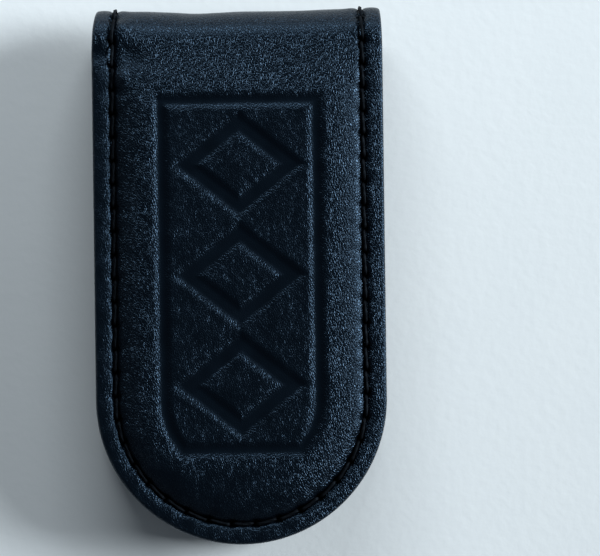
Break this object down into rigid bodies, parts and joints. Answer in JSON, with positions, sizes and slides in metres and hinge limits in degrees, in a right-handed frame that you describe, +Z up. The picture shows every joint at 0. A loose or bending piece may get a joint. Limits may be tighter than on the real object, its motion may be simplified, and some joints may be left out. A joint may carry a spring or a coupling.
{
  "type": "money clip",
  "caption": "Magnetic leather money clip: a stitched strap folded in half, with padded flaps that grip folded notes, and a plain ornament pressed into the front.",
  "frame": {"origin": "on the surface that the clip lies on, below the centre of its outline", "axes": "+X across the strap, +Y along the strap towards the fold, +Z up, out of the front flap's face; the back flap's pad faces down"},
  "size_m": [0.041, 0.0756, 0.0124],
  "materials": {
    "outer_leather": "black grained leather, semi-matt, padded over the board",
    "lining_leather": "black smooth lining leather, matt",
    "thread": "black waxed polyester thread",
    "board": "brown pressed fibre board",
    "magnet": "nickel-plated disc magnet"
  },
  "bodies": {
    "back_flap": {"back_outer_leather": "outer_leather", "back_lining": "lining_leather", "back_board": "board", "back_upper_magnet": "magnet", "back_lower_magnet": "magnet", "back_needle_thread": "thread", "back_bobbin_thread": "thread"},
    "fold_link_1": {"outer_leather_fold_1": "outer_leather", "lining_fold_1": "lining_leather", "needle_thread_fold_1": "thread", "bobbin_thread_fold_1": "thread"},
    "fold_link_2": {"outer_leather_fold_2": "outer_leather", "lining_fold_2": "lining_leather", "needle_thread_fold_2": "thread", "bobbin_thread_fold_2": "thread"},
    "fold_link_3": {"outer_leather_fold_3": "outer_leather", "lining_fold_3": "lining_leather", "needle_thread_fold_3": "thread", "bobbin_thread_fold_3": "thread"},
    "fold_link_4": {"outer_leather_fold_4": "outer_leather", "lining_fold_4": "lining_leather", "needle_thread_fold_4": "thread", "bobbin_thread_fold_4": "thread"},
    "fold_link_5": {"outer_leather_fold_5": "outer_leather", "lining_fold_5": "lining_leather", "needle_thread_fold_5": "thread", "bobbin_thread_fold_5": "thread"},
    "fold_link_6": {"outer_leather_fold_6": "outer_leather", "lining_fold_6": "lining_leather", "needle_thread_fold_6": "thread", "bobbin_thread_fold_6": "thread"},
    "front_flap": {"front_outer_leather": "outer_leather", "front_lining": "lining_leather", "front_board": "board", "front_upper_magnet": "magnet", "front_lower_magnet": "magnet", "front_needle_thread": "thread", "front_bobbin_thread": "thread"}
  },
  "joints": [
    {"name": "fold_hinge_1", "type": "hinge", "parent": "back_flap", "child": "fold_link_1", "pos_m": [0, 0.03379, 0.0025], "axis": [-1, 0, 0], "range_deg": [-0.4, 25.71]},
    {"name": "fold_hinge_2", "type": "hinge", "parent": "fold_link_1", "child": "fold_link_2", "pos_m": [0, 0.03532, 0.00323], "axis": [-1, 0, 0], "range_deg": [-0.4, 25.71]},
    {"name": "fold_hinge_3", "type": "hinge", "parent": "fold_link_2", "child": "fold_link_3", "pos_m": [0, 0.03637, 0.00455], "axis": [-1, 0, 0], "range_deg": [-0.4, 25.71]},
    {"name": "fold_hinge_4", "type": "hinge", "parent": "fold_link_3", "child": "fold_link_4", "pos_m": [0, 0.03675, 0.0062], "axis": [-1, 0, 0], "range_deg": [-0.4, 25.71]},
    {"name": "fold_hinge_5", "type": "hinge", "parent": "fold_link_4", "child": "fold_link_5", "pos_m": [0, 0.03637, 0.00785], "axis": [-1, 0, 0], "range_deg": [-0.4, 25.71]},
    {"name": "fold_hinge_6", "type": "hinge", "parent": "fold_link_5", "child": "fold_link_6", "pos_m": [0, 0.03532, 0.00917], "axis": [-1, 0, 0], "range_deg": [-0.4, 25.71]},
    {"name": "flap_hinge", "type": "hinge", "parent": "fold_link_6", "child": "front_flap", "pos_m": [0, 0.03379, 0.0099], "axis": [-1, 0, 0], "range_deg": [-0.4, 25.71]}
  ],
  "couplings": [
    {"joint": "fold_hinge_1", "follows": "flap_hinge", "ratio": 1},
    {"joint": "fold_hinge_2", "follows": "flap_hinge", "ratio": 1},
    {"joint": "fold_hinge_3", "follows": "flap_hinge", "ratio": 1},
    {"joint": "fold_hinge_4", "follows": "flap_hinge", "ratio": 1},
    {"joint": "fold_hinge_5", "follows": "flap_hinge", "ratio": 1},
    {"joint": "fold_hinge_6", "follows": "flap_hinge", "ratio": 1}
  ]
}
